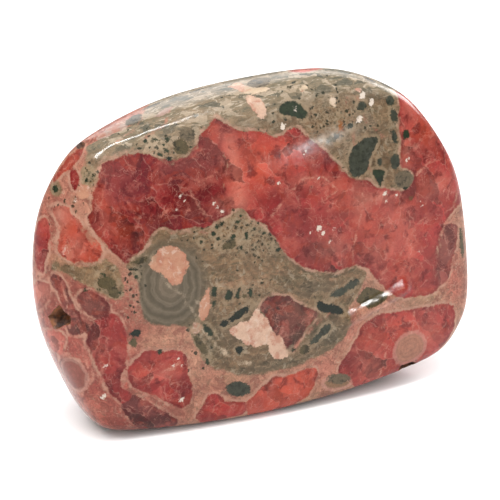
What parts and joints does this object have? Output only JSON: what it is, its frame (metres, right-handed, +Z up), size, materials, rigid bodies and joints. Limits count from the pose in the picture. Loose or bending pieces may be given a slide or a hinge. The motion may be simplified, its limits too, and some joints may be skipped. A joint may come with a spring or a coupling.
{
  "type": "rhodochrosite specimen",
  "caption": "Polished freeform rhodochrosite stone with pink and red crystal set in tan and olive matrix, standing on its long edge on a small ground face.",
  "frame": {"origin": "on the surface the stone stands on, under the middle of its bounding box", "axes": "+X along the stone's length, -Y out of its broad front face, +Z up"},
  "size_m": [0.0866, 0.03, 0.0626],
  "materials": {
    "rhodochrosite_stone": "hand polished to a wet gloss: raspberry, coral and pink rhodochrosite with tan rims, in olive grey matrix with dark green black specks"
  },
  "bodies": {
    "root": {"rhodochrosite_stone": "rhodochrosite_stone"}
  },
  "joints": []
}
